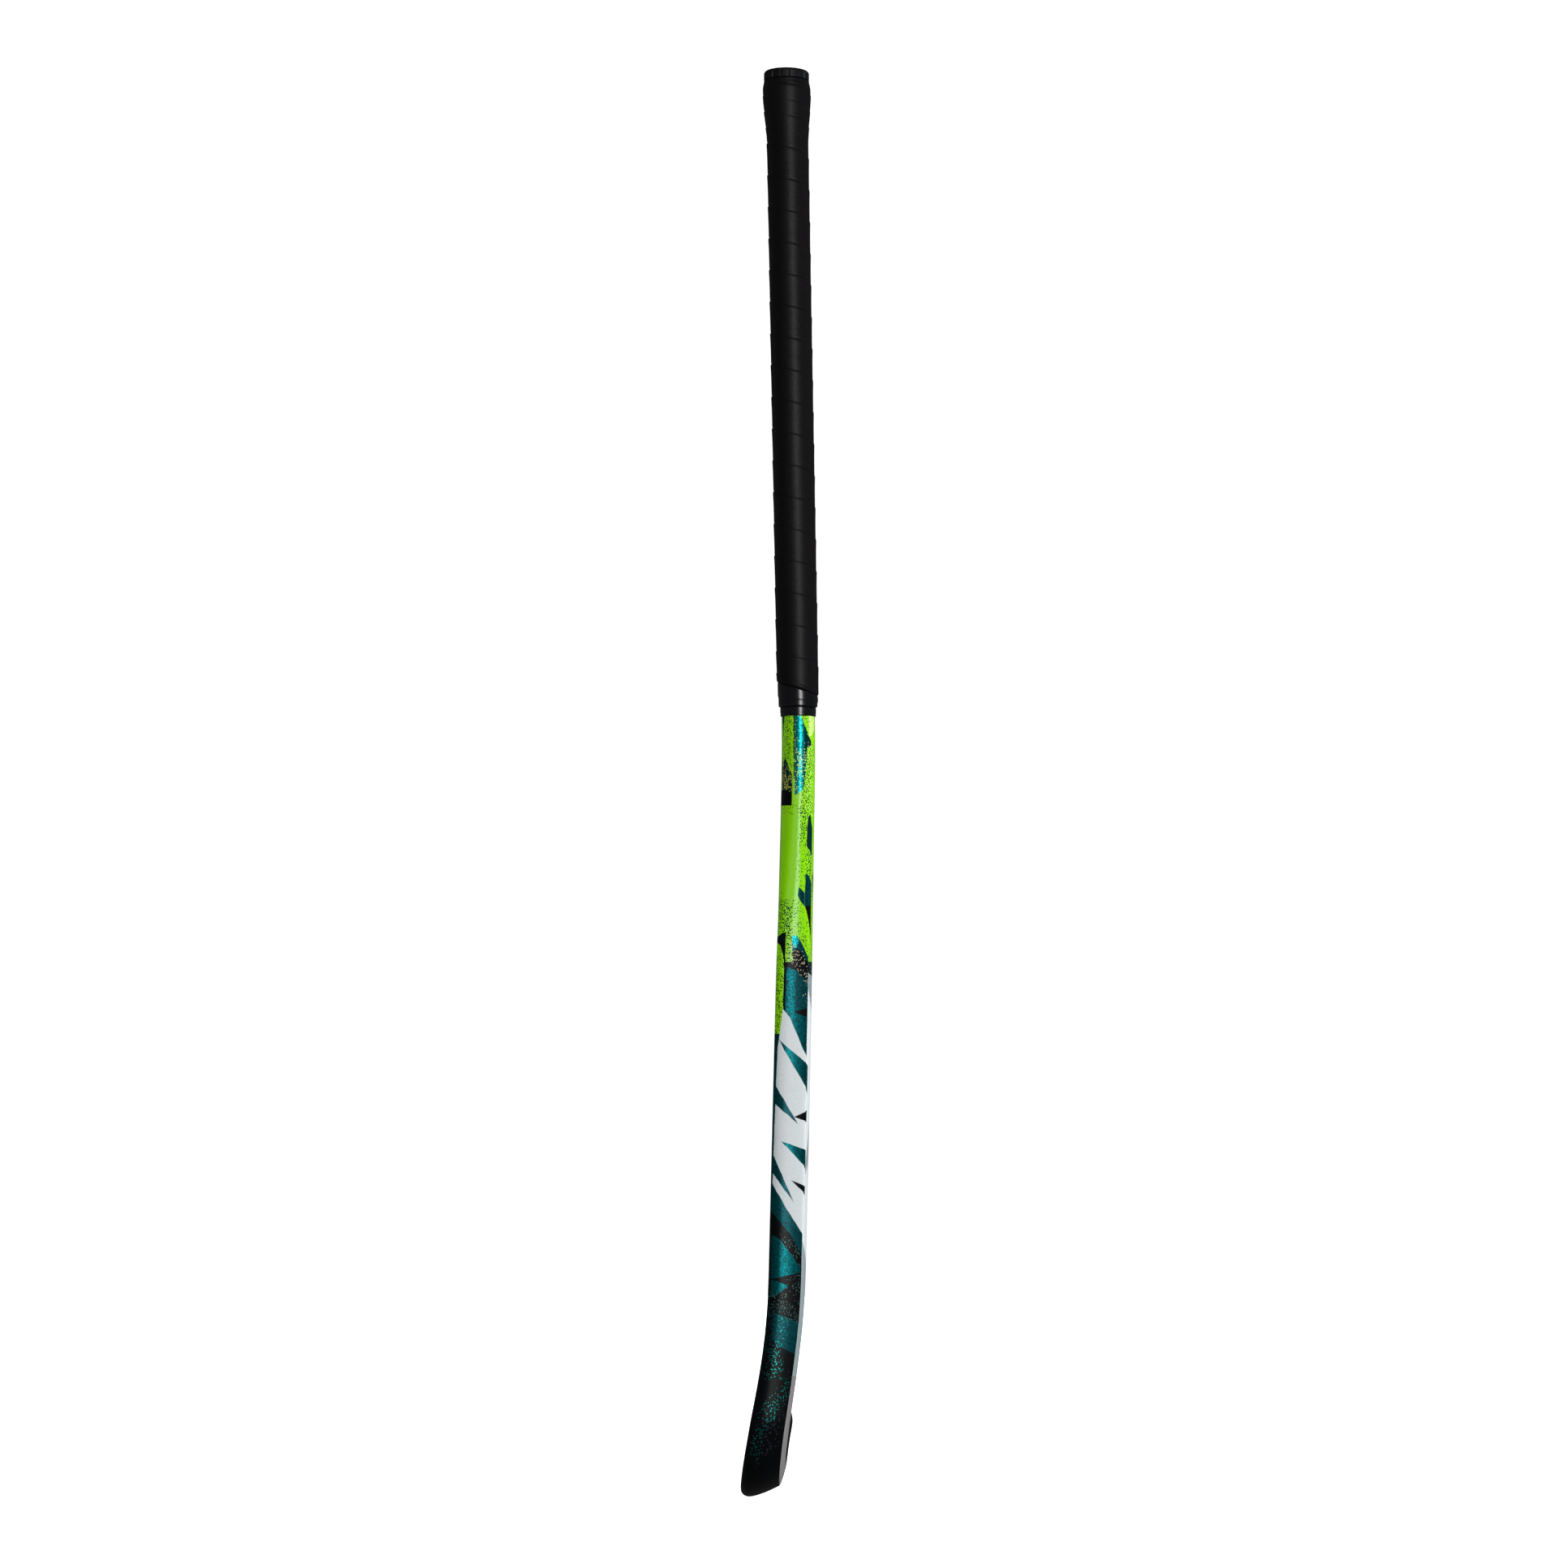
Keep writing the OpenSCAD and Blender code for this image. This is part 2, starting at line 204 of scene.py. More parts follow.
# ---------------------------------------------------------------- mesh helpers
def loft(rings, close_first=True, close_last=True):
    """Closed or open skin: the first ring is a circle bent to shape, and each next ring
    is extruded from the one before."""
    n = len(rings[0])
    bm = bmesh.new()
    ring = bmesh.ops.create_circle(bm, segments=n, radius=1.0)["verts"]
    for v, co in zip(ring, rings[0]):
        v.co = Vector(co) * MM
    edges = [bm.edges.get((ring[i], ring[(i + 1) % n])) for i in range(n)]
    first_edges, rows = edges, [ring]
    for points in rings[1:]:
        made = bmesh.ops.extrude_edge_only(bm, edges=edges)["geom"]
        fresh = {g for g in made if isinstance(g, bmesh.types.BMVert)}
        step = []
        for v, co in zip(rows[-1], points):
            twin = next(e.other_vert(v) for e in v.link_edges if e.other_vert(v) in fresh)
            twin.co = Vector(co) * MM
            step.append(twin)
        edges = [bm.edges.get((step[i], step[(i + 1) % n])) for i in range(n)]
        rows.append(step)
    if close_first:
        bmesh.ops.contextual_create(bm, geom=first_edges)
    if close_last:
        bmesh.ops.contextual_create(bm, geom=edges)
    return bm, rows


def lay_uv(bm, rows, values, name):
    """Writes values[row][column] as a UV map; a column past the last holds the seam."""
    layer = bm.loops.layers.uv.new(name)
    where = {v: (j, i) for j, row in enumerate(rows) for i, v in enumerate(row)}
    n = len(rows[0])
    for face in bm.faces:
        spots = [where[loop.vert] for loop in face.loops]
        wraps = {i for _, i in spots} >= {0, n - 1} and len(spots) == 4
        for loop, (j, i) in zip(face.loops, spots):
            loop[layer].uv = values[j][n] if wraps and i == 0 else values[j][i]


def finish_mesh(bm, name, material, node):
    """Turns a bmesh into the finished piece that stands for a CAD node."""
    bmesh.ops.recalc_face_normals(bm, faces=bm.faces)
    mesh = bpy.data.meshes.new(name)
    bm.to_mesh(mesh)
    bm.free()
    mesh.materials.append(material)
    for poly in mesh.polygons:
        poly.use_smooth = True
    obj = bpy.data.objects.new(name, mesh)
    bpy.context.scene.collection.objects.link(obj)
    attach(obj, "root")
    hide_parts(node)
    return obj


# ---------------------------------------------------------------- material helpers
def linear(colour):
    """sRGB hex to a linear colour."""
    parts = [int(colour[i : i + 2], 16) / 255 for i in (1, 3, 5)]
    return [c / 12.92 if c <= 0.04045 else ((c + 0.055) / 1.055) ** 2.4 for c in parts] + [1.0]


def add(mat, kind, settings, inputs=(), out=0):
    """Adds one node. settings are its own properties; inputs are its sockets, in order or
    by name, each a constant or another node's output. Gives back the output asked for."""
    node = mat.node_tree.nodes.new(kind)
    for key, value in settings.items():
        setattr(node, key, value)
    for key, value in inputs.items() if isinstance(inputs, dict) else enumerate(inputs):
        if isinstance(value, bpy.types.NodeSocket):
            mat.node_tree.links.new(value, node.inputs[key])
        else:
            node.inputs[key].default_value = value
    return node.outputs[out] if node.outputs else None


def new_material(name):
    mat = bpy.data.materials.new(name)
    mat.use_nodes = True
    mat.node_tree.nodes.clear()
    return mat


MATH, VECTOR, MIX = "ShaderNodeMath", "ShaderNodeVectorMath", "ShaderNodeMix"
NOISE, CELLS, SPLIT = "ShaderNodeTexNoise", "ShaderNodeTexVoronoi", "ShaderNodeSeparateColor"
BUMP, UV, PLACE = "ShaderNodeBump", "ShaderNodeUVMap", "ShaderNodeTexCoord"
SHADER, OUTPUT = "ShaderNodeBsdfPrincipled", "ShaderNodeOutputMaterial"
TIMES, MINUS = {"operation": "MULTIPLY"}, {"operation": "SUBTRACT"}
SCALE_ADD = {"operation": "MULTIPLY_ADD"}
RAMP = {"operation": "MULTIPLY_ADD", "use_clamp": True}
COLOUR = {"data_type": "RGBA"}


def polygon_depth(mat, spot, corners):
    """How far inside a convex outline the point is, in mm; negative outside.
    Corners are (across, up) in mm, either way round."""
    pairs = list(zip(corners, corners[1:] + corners[:1]))
    turn = 1 if sum(x0 * y1 - x1 * y0 for (x0, y0), (x1, y1) in pairs) > 0 else -1
    depth = None
    for (x0, y0), (x1, y1) in pairs:
        length = math.hypot(x1 - x0, y1 - y0) * turn
        nx, ny = (y0 - y1) / length, (x1 - x0) / length
        plane = (nx, ny, -(nx * x0 + ny * y0))
        edge = add(mat, VECTOR, {"operation": "DOT_PRODUCT"}, [spot, plane], "Value")
        depth = edge if depth is None else add(mat, MATH, {"operation": "MINIMUM"}, [depth, edge])
    return depth


# ---------------------------------------------------------------- paint
# Hard-edged shapes of the graphic, with painted highlight, painted shade and a painted
# reflection among them. Across is mm from the playing face's edge towards the back (the
# shoulder is at 20.5, the middle of the back at 31), up is mm along the stick
GROUND = [("lime", [(-5, 508), (90, 508), (90, 347.3), (-5, 347.3)])]
UPPER_SHAPES = [
    ("pale_lime_and_highlight", [(17.8, 511.3), (26, 511.3), (26, 497.3), (19.2, 492.8), (17.8, 493.1)]),
    # painted highlight: the bright teal leaf is where the highlight runs down the teal
    ("teal_highlight", [(8.7, 511.3), (9.5, 511.3), (13.9, 502.3), (16.9, 495.8), (16.6, 486.4),
                     (14.8, 458.5), (9, 454.5)]),
    ("teal", [(14.8, 500.3), (16.9, 495.8), (16.6, 485.4), (14.8, 477.4)]),
    ("black", [(7.9, 511.3), (8.7, 511.3), (8.8, 465.5), (8.1, 465.5)]),
    ("teal_dark", [(16.2, 496.3), (17.4, 493.7), (19.8, 492.6), (21, 487.4), (16.2, 485.4)]),
    ("teal_dark", [(2.1, 479.8), (7.4, 466.8), (7.4, 456), (-1, 456), (-1, 469.5)]),
    # painted shade: a dark wedge down the left edge, just under the tape band
    ("teal_dark", [(-2, 511.3), (2.2, 507.3), (0.6, 494.3), (-2, 489.4)]),
]
MIDDLE_SHAPES = [
    ("teal", [(6.2, 346.9), (7.9, 348.3), (9.9, 346.7), (14, 340.4), (24, 335.4), (24, 305.7), (6.2, 305.7)]),
    ("teal", [(-2, 312.7), (24, 312.7), (24, 189.2), (-2, 192.2)]),
    # painted shade: deep teal on the side turned from the light, right of the teal's highlight
    ("deep_teal_and_shade", [(12.6, 341.9), (14, 340.4), (24, 335.4), (24, 317.1), (12.2, 317.6)]),
    ("deep_teal_and_shade", [(9.6, 364), (12.6, 364), (15.2, 360.2), (17.9, 355), (20, 350.3), (21, 345.8),
                  (21, 337.4), (17, 338.4), (12, 346.3), (9.8, 354.3)]),
    # painted highlight: bright teal in the band where the highlight runs
    ("teal_highlight", [(9.8, 364), (12.4, 364), (14, 360.7), (12.5, 356.2), (10.2, 356.2)]),
    ("black", [(12.5, 356.2), (16, 353.3), (20.4, 345.3), (21.4, 336.4), (20.8, 334.9), (13.6, 342.2),
               (11, 346.3), (9.5, 352.3)]),
    ("black", [(11.8, 315.4), (24, 318.6), (24, 309.7)]),
    ("lime", [(-2, 349.3), (5, 349.3), (5, 300.8), (-2, 300.8)]),
    ("black", [(-1, 362.6), (3.5, 365.8), (5.8, 366.5), (5.6, 358.2), (1.6, 358.2), (-1, 360)]),
    ("black", [(1.8, 358.6), (5.6, 358.6), (5.4, 349.1), (4.7, 349.1)]),
]
LOWER_SHAPES = [
    ("deep_teal_and_shade", [(-2, 192.2), (8.9, 192.2), (20, 174.8), (21.5, 170.5), (21.5, 154.8), (-2, 154.8)]),
    ("black", [(-2, 188.2), (2.4, 185.3), (12.6, 172.5), (20.2, 160.1), (21.5, 152.8), (-2, 152.8)]),
    ("teal", [(0.8, 171), (2.7, 172), (7.1, 168.5), (19.5, 151.3), (19.9, 148.2), (6, 144.9), (1.2, 144.1)]),
    ("teal", [(1.6, 143.4), (5, 142.8), (12.6, 139.2), (5.5, 134.1), (1.4, 132.1)]),
    ("deep_teal_and_shade", [(4.6, 122.7), (21.3, 115.4), (21.3, 95.6), (10.3, 100.7), (4.6, 105.6)]),
]
# Laid over the spray, so they stay crisp
TOP_SHAPES = [
    ("black", [(-1, 458.9), (3, 458.1), (6.4, 456.5), (7.2, 455.5), (7.2, 447.8), (-1, 448.2)]),
    ("teal_dark", [(20, 443.4), (18.1, 441.2), (17.4, 433.7), (17.3, 421.3), (24, 415.2), (24, 432.7)]),
    ("deep_teal_and_shade", [(17.2, 404.8), (24, 397.9), (24, 382), (16.9, 383), (16.9, 391.4)]),
    ("deep_teal_and_shade", [(13, 395.3), (16.9, 391.5), (16.9, 382.5), (14.1, 386.4), (12.5, 390)]),
    ("black", [(16.9, 383), (24, 383.6), (24, 361.2), (21.6, 368.7)]),
    ("black", [(4.9, 350.3), (5.9, 350.3), (5.6, 311.7), (4.9, 311.7)]),
]
# A white field broken by splinters of teal and black that run every way
WHITE_SHAPES = [
    ("white", [(4.9, 316.8), (9.6, 311.3), (23, 280), (23, 168.8), (21.5, 171), (8.9, 190.9),
               (0.8, 205), (2, 292)]),
    ("teal", [(23, 280), (23, 262), (2.6, 297)]),
    ("deep_teal_and_shade", [(-1, 272), (-1, 258), (16, 243)]),
    ("black", [(23, 252), (23, 244), (13.4, 247.5)]),
    ("teal", [(23, 226), (23, 214), (5.6, 232)]),
    ("deep_teal_and_shade", [(-1, 228), (-1, 214), (14.5, 193)]),
    ("black", [(23, 203), (23, 197), (12.6, 207)]),
]
BACK_SHAPES = [
    # painted reflection: this flat colour over the back stands for the white surroundings mirrored at a
    # grazing angle
    ("painted_back_reflection", [(20.6, 340.4), (42, 334.4), (42, -150), (20.6, -150)]),
    ("white", [(21, 330.5), (31, 312.7), (33, 251.4), (21, 213.9)]),
    ("white", [(33, 300.8), (42, 318.6), (42, 225.7), (36, 239.5)]),
    ("white", [(21, 208), (29, 217.8), (35, 180.4), (31, 152.8), (21, 168.5)]),
    # painted reflection, duller, over the lower back and round the hook
    ("painted_low_reflection", [(20.6, 82), (42, 80), (42, -150), (20.6, -150)]),
    ("black", [(31.5, -6), (42, -2), (42, -150), (31.5, -150)]),
    ("teal_dark", [(26, 401.9), (42, 419.7), (42, 360.2), (34, 371.1)]),
    ("teal", [(31, 469.5), (42, 451.5), (42, 429.7), (35, 435.6)]),
]
# Sprayed dots: colour, outline, how soft its edge is in mm, and how dense it gets
SPRAYS = [
    ("teal_dark", [(0, 511.3), (8, 511.3), (8, 469.5), (3, 475.4), (0, 479.4)], 8, 0.7),
    ("teal_dark", [(11.5, 507.3), (17.8, 507.3), (17.8, 495.3), (15.8, 499.3)], 2, 0.45),
    ("sand", [(11.5, 507.3), (17.8, 507.3), (17.8, 495.3), (15.8, 499.3)], 2, 0.25),
    # painted highlight: the pale dots grow thick down the teal leaf and the lime where the highlight runs
    ("pale_lime_and_highlight", [(8.9, 507.3), (14, 503.3), (16, 485.4), (9, 485.4)], 6, 0.16),
    ("pale_lime_and_highlight", [(9, 484.4), (15.6, 484.4), (15, 467.5), (9, 468.5)], 6, 0.85),
    ("pale_lime_and_highlight", [(9, 469.5), (15, 469.5), (14.8, 451.5), (9, 451.5)], 5, 0.4),
    ("black", [(15.4, 487.4), (22, 488.4), (22, 469.5), (15.2, 471.4)], 7, 0.85),
    ("sand", [(16.2, 488.4), (22, 488.4), (22, 476.4), (15.5, 477.4)], 4, 0.5),
    ("teal_dark", [(14.8, 479.4), (24, 479.4), (24, 441.6), (13, 441.6)], 6, 0.85),
    ("pale_lime_and_highlight", [(14.8, 479.4), (24, 479.4), (24, 441.6), (13, 441.6)], 6, 0.4),
    ("straw", [(-3, 477.4), (8.4, 467.5), (8.4, 452), (-3, 452)], 10, 0.85),
    ("black", [(-1, 451.5), (8, 451.5), (8, 442.6), (-1, 442.6)], 3, 0.35),
    ("teal_dark", [(11.6, 446.6), (18, 446.6), (17.6, 423.7), (13.6, 423.7)], 4, 0.8),
    ("teal_dark", [(12, 425.7), (17.4, 425.7), (17.4, 390), (12.6, 393.9)], 4, 0.25),
    ("teal_dark", [(17, 423.7), (24, 417.8), (24, 395.9), (17, 401.9)], 3, 0.85),
    ("teal_dark", [(-2, 390), (12, 384), (9, 358.2), (-2, 360.2)], 8, 0.8),
    ("teal_dark", [(12, 382), (21, 370.1), (21, 346.3), (14, 358.2)], 6, 0.4),
    ("black", [(5.6, 366.1), (9.4, 364.2), (11, 350.3), (9, 344.3), (5.8, 344.3)], 8, 0.95),
    ("black", [(-2, 346.3), (5, 346.3), (5, 290.9), (-2, 290.9)], 36, 1.1),
    ("sand", [(10, 358.2), (16, 355.2), (21.4, 344.3), (21.4, 333.4), (13, 339.4), (9.5, 348.3)], 4, 0.36),
    ("sand", [(8.2, 362.2), (11, 361.2), (12, 345.3), (8, 346.3)], 3, 0.3),
    ("sand", [(15, 338.4), (21, 338.4), (21, 318.6), (18, 325.5)], 3, 0.12),
    ("black", [(5, 192), (14, 186), (14, 149), (5, 149)], 3, 0.22),
    ("sage", [(7.5, 174), (12, 172), (20, 160), (19.5, 152), (8, 166)], 3, 0.38),
    ("sage", [(12, 146), (20, 148), (20, 135), (6, 133)], 3, 0.34),
    ("sage", [(1, 136), (14, 136), (12, 121), (1, 121)], 4, 0.4),
    ("sage", [(7, 129), (21, 129), (21, 114), (7, 120)], 4, 0.36),
    ("deep_teal_and_shade", [(-1, 124), (10, 122), (9, 100), (2, 96), (-1, 101)], 9, 0.7),
    ("black", [(4.4, 122), (13, 119), (13, 99), (4.4, 103)], 5, 0.45),
    ("teal_dot", [(8, 121), (14, 119), (14, 98), (8, 98)], 3, 0.3),
    ("teal_dot", [(4, 105), (9.4, 103), (9.8, 91), (4.4, 90)], 3, 0.42),
    ("teal_dot", [(4, 96), (10, 96), (15, 89), (14, 80), (5, 79), (2, 84)], 4, 0.45),
    ("teal_dot", [(18.4, 83), (21.5, 81), (20, 65), (12, 63), (10, 68)], 4, 0.45),
    ("teal_dot", [(5, 65.5), (11, 65.5), (15.5, 60.5), (14, 52.5), (8, 52.5), (4, 58.5)], 3, 0.48),
    ("teal_dot", [(2.6, 51.5), (10, 53.5), (9, 42.5), (6, 36.5), (2.6, 39.5)], 4, 0.45),
    ("slate", [(9, 56.5), (18.5, 56.5), (17, 42.5), (8, 36.5)], 5, 0.32),
    ("sage", [(21, 352.3), (42, 346.3), (42, 318.6), (21, 322.6)], 14, 0.7),
    ("teal_dark", [(24, 511.3), (42, 511.3), (42, 465.5), (24, 473.4)], 26, 0.5),
    ("teal_dark", [(24, 397.9), (42, 380), (42, 346.3), (24, 352.3)], 22, 0.6),
]


def paint_shapes(mat, spot, base, shapes, colours, soft=0.35):
    """Lays hard-edged shapes over the colour so far."""
    for colour, corners in shapes:
        inside = add(mat, MATH, RAMP, [polygon_depth(mat, spot, corners), 1 / soft, 0.5])
        base = add(mat, MIX, COLOUR, {0: inside, 6: base, 7: colours[colour]}, 2)
    return base


def paint_sprays(mat, spot, reach, chance, base, sprays, colours):
    """Lays sprayed dots: each shows if its own chance is under the local density, and is
    bigger where the spray is dense. reach is the distance from the middle of the cell."""
    for colour, corners, soft, most in sprays:
        ramp = add(mat, MATH, RAMP, [polygon_depth(mat, spot, corners), 1 / soft, 0.5])
        density = add(mat, MATH, TIMES, [ramp, most])
        shown = add(mat, MATH, {"operation": "LESS_THAN"}, [chance, density])
        radius = add(mat, MATH, SCALE_ADD, [density, 0.16, 0.26])
        dot = add(mat, MATH, {"operation": "LESS_THAN"}, [reach, radius])
        inside = add(mat, MATH, TIMES, [shown, dot])
        base = add(mat, MIX, COLOUR, {0: inside, 6: base, 7: colours[colour]}, 2)
        chance = add(mat, MATH, {"operation": "FRACT"}, [add(mat, MATH, SCALE_ADD, [chance, 7.31, 0.377])])
    return base


def painted_laminate(look):
    """Moulded fibre laminate under sprayed paint. The teal holds mica flake, so it lights up
    in its own colour; the lime is a glossy enamel with a pale soft highlight; white, black
    and the painted reflection on the back are satin and give almost nothing back."""
    mat = new_material("sprayed_fibre_laminate")
    lay = add(mat, UV, {"uv_map": "lay"})
    skin = add(mat, UV, {"uv_map": "skin"})
    s = add(mat, "ShaderNodeSeparateXYZ", {}, [lay], 0)
    up = add(mat, "ShaderNodeSeparateXYZ", {}, [lay], 1)
    # heel side, back, then toe side and face folded back over the heel side's graphic
    folded = add(mat, MATH, MINUS, [1.0, add(mat, MATH, {"operation": "FRACT"}, [s])])
    far = add(mat, MATH, {"operation": "GREATER_THAN"}, [s, 2.0])
    toe_side = add(mat, MATH, TIMES, [far, add(mat, MATH, {"operation": "LESS_THAN"}, [s, 3.0])])
    across = add(mat, MIX, {}, {0: far, 2: s, 3: folded})
    across = add(mat, MATH, SCALE_ADD, [across, SIDE, -0.5])
    # the toe side carries the same design, 26 mm further down
    up = add(mat, MATH, SCALE_ADD, [toe_side, 26.0, up])
    # masking film is cut by hand, so edges wander a little
    wander = add(mat, NOISE, {}, {"Vector": skin, "Scale": 0.09, "Detail": 3.0})
    wander = add(mat, MATH, MINUS, [wander, 0.5])
    across = add(mat, MATH, SCALE_ADD, [wander, 1.0, across])
    up = add(mat, MATH, SCALE_ADD, [wander, 1.4, up])
    spot = add(mat, "ShaderNodeCombineXYZ", {}, [across, up, 1.0])

    # the bright teal is a painted highlight and the back's flat colours a painted reflection; the pale lime
    # and the deep teal are paint that also carries painted highlight and shade
    colours = {
        "lime": linear(look.lime), "pale_lime_and_highlight": linear(look.pale_lime_and_highlight),
        "teal": linear(look.teal), "deep_teal_and_shade": linear(look.deep_teal_and_shade),
        "teal_dark": linear(look.teal_dark), "teal_highlight": linear(look.teal_highlight),
        "black": linear(look.black), "white": linear(look.white), "painted_back_reflection": linear(look.painted_back_reflection),
        "sand": linear("#b0a888"), "straw": linear("#a9b348"), "sage": linear("#3c5f5a"),
        "slate": linear("#34343f"), "painted_low_reflection": linear("#807e7e"), "teal_dot": linear("#0b7770"),
    }
    base = paint_shapes(mat, spot, colours["black"], GROUND + UPPER_SHAPES + MIDDLE_SHAPES, colours)
    base = paint_shapes(mat, spot, base, LOWER_SHAPES + BACK_SHAPES, colours)
    # one dot to a cell, 0.6 to 1 mm across as an airbrush spatters them
    cells = {"voronoi_dimensions": "2D"}
    place_in = {"Vector": skin, "Scale": 1 / look.dot_pitch, "Randomness": 0.9}
    reach = add(mat, CELLS, cells, place_in, "Distance")
    chance = add(mat, SPLIT, {}, [add(mat, CELLS, cells, place_in, "Color")])
    base = paint_sprays(mat, spot, reach, chance, base, SPRAYS, colours)
    base = paint_shapes(mat, spot, base, TOP_SHAPES + WHITE_SHAPES, colours)

    # mica flake is only in the teal: where the paint is far bluer than it is red
    red, green, blue = (add(mat, SPLIT, {}, [base], i) for i in range(3))
    flake = add(mat, MATH, RAMP, [add(mat, MATH, SCALE_ADD, [red, -1.6, blue]), 8.0, 0.0])
    flake = add(mat, MATH, {"operation": "MINIMUM"}, [flake, look.flake])
    # only the lime is a glossy enamel: greener than it is blue
    gloss = add(mat, MATH, RAMP, [add(mat, MATH, MINUS, [green, blue]), 1.4, -0.03])
    # tiny shifts of brightness two thirds of a millimetre across, strong where there is mica
    grain = add(mat, SPLIT, {}, [add(mat, CELLS, cells, {"Vector": skin, "Scale": 1.5}, "Color")])
    swing = add(mat, MATH, SCALE_ADD, [flake, 1.5, 0.08])
    lift = add(mat, MATH, SCALE_ADD, [add(mat, MATH, MINUS, [grain, 0.5]), swing, 1.0])
    base = add(mat, VECTOR, {"operation": "SCALE"}, {0: base, "Scale": lift})
    # the film flows out with a faint orange peel, 3 mm from crest to crest
    peel = add(mat, NOISE, {}, {"Vector": skin, "Scale": 0.33, "Detail": 2.0})
    normal = add(mat, BUMP, {}, {"Strength": 0.035, "Distance": 0.0006, "Height": peel})
    shader = add(mat, SHADER, {}, {
        "Base Color": base, "Metallic": flake, "Roughness": 0.29, "Specular IOR Level": 0.1,
        "Coat Weight": gloss, "Coat Roughness": 0.26, "Normal": normal})
    add(mat, OUTPUT, {}, [shader])
    return mat


def cushion_polyurethane(look):
    """Polyurethane cushion strip with a fine leather-like grain, pulled unevenly as it is
    wound: near black, its sheen spread wide, low and patchy."""
    mat = new_material("polyurethane_cushion_strip")
    skin = add(mat, UV, {"uv_map": "skin"})
    grain = add(mat, NOISE, {}, {"Vector": skin, "Scale": 1.6, "Detail": 4.0})
    pores = add(mat, CELLS, {"voronoi_dimensions": "2D"}, {"Vector": skin, "Scale": 0.9}, "Distance")
    pull = add(mat, "ShaderNodeMapping", {}, {"Vector": skin, "Scale": (0.05, 0.16, 1.0)})
    pulled = add(mat, NOISE, {}, {"Vector": pull, "Scale": 1.0, "Detail": 2.0})
    relief = add(mat, MATH, SCALE_ADD, [pores, 0.3, grain])
    relief = add(mat, MATH, SCALE_ADD, [pulled, 5.0, relief])
    normal = add(mat, BUMP, {}, {"Strength": 0.2, "Distance": 0.0004, "Height": relief})
    tone = add(mat, MIX, COLOUR, {0: grain, 6: linear(look.grip_dark), 7: linear(look.grip)}, 2)
    rough = add(mat, MATH, SCALE_ADD, [grain, 0.16, 0.40])
    shader = add(mat, SHADER, {}, {
        "Base Color": tone, "Roughness": rough, "Specular IOR Level": 0.22, "Normal": normal})
    add(mat, OUTPUT, {}, [shader])
    return mat


def vinyl_tape(look):
    """Calendered vinyl tape, stretched smooth as it is wound: black with a wet gloss."""
    mat = new_material("vinyl_tape")
    skin = add(mat, UV, {"uv_map": "skin"})
    drag = add(mat, "ShaderNodeMapping", {}, {"Vector": skin, "Scale": (0.03, 0.3, 1.0)})
    lines = add(mat, NOISE, {}, {"Vector": drag, "Scale": 1.0, "Detail": 1.0})
    normal = add(mat, BUMP, {}, {"Strength": 0.12, "Distance": 0.0004, "Height": lines})
    shader = add(mat, SHADER, {}, {
        "Base Color": linear(look.tape), "Roughness": 0.24, "Specular IOR Level": 0.9, "Normal": normal})
    add(mat, OUTPUT, {}, [shader])
    return mat


def moulded_cap_plastic(look):
    """Injection-moulded polyurethane butt cap: nearly black, with a fine spark-eroded
    texture that leaves it dull."""
    mat = new_material("moulded_cap_polyurethane")
    place_in = add(mat, PLACE, {}, (), "Object")
    grit = add(mat, NOISE, {}, {"Vector": place_in, "Scale": 2200.0, "Detail": 2.0})
    normal = add(mat, BUMP, {}, {"Strength": 0.15, "Distance": 0.0002, "Height": grit})
    shader = add(mat, SHADER, {}, {
        "Base Color": linear(look.cap), "Roughness": 0.48, "Specular IOR Level": 0.25, "Normal": normal})
    add(mat, OUTPUT, {}, [shader])
    return mat


def plain_inner(name, colour, rough, scale, depth):
    """Inner materials: one colour broken by a grain of the right size."""
    mat = new_material(name)
    place_in = add(mat, PLACE, {}, (), "Object")
    grain = add(mat, NOISE, {}, {"Vector": place_in, "Scale": scale, "Detail": 3.0})
    normal = add(mat, BUMP, {}, {"Strength": 0.3, "Distance": depth, "Height": grain})
    dark = [c * 0.7 for c in linear(colour)[:3]] + [1.0]
    tone = add(mat, MIX, COLOUR, {0: grain, 6: dark, 7: linear(colour)}, 2)
    shader = add(mat, SHADER, {}, {"Base Color": tone, "Roughness": rough, "Normal": normal})
    add(mat, OUTPUT, {}, [shader])
    return mat


# ---------------------------------------------------------------- properties
def colour_text(label, text, value):
    return StringProperty(name=label, description=text, default=value)


class PaintLook(bpy.types.PropertyGroup):
    """Colours of the painted laminate, as sRGB hex"""

    lime: colour_text("Lime", "Ground coat of the upper shaft", "#86d400")
    # pale lime: overspray, and where it is sprayed thick a painted highlight
    pale_lime_and_highlight: colour_text("Pale lime", "Overspray on the lime", "#c4ec7c")
    teal: colour_text("Teal", "Metallic teal of the middle", "#004d52")
    # deep teal: paint, and painted shade right of the middle teal's highlight
    deep_teal_and_shade: colour_text("Deep teal", "Facets turned from the light", "#043e44")
    teal_dark: colour_text("Dark teal", "Shadow shapes", "#03262a")
    # bright teal: a painted highlight on the teal
    teal_highlight: colour_text("Bright teal", "Light leaf shapes", "#108d90")
    black: colour_text("Black", "Ground coat of the head", "#090a0c")
    white: colour_text("White", "Field of the lower shaft", "#cdd4d6")
    # a painted reflection of the white surroundings on the back, seen at a grazing angle
    painted_back_reflection: colour_text("Silver", "Coat of the rounded back", "#8b979a")
    flake: FloatProperty(name="Flake", description="How metallic the teal is",
                         default=0.8, min=0.0, max=1.0)
    dot_pitch: FloatProperty(name="Dot pitch", description="Spacing of the spatter, mm",
                             default=1.15, min=0.6, max=3.0)


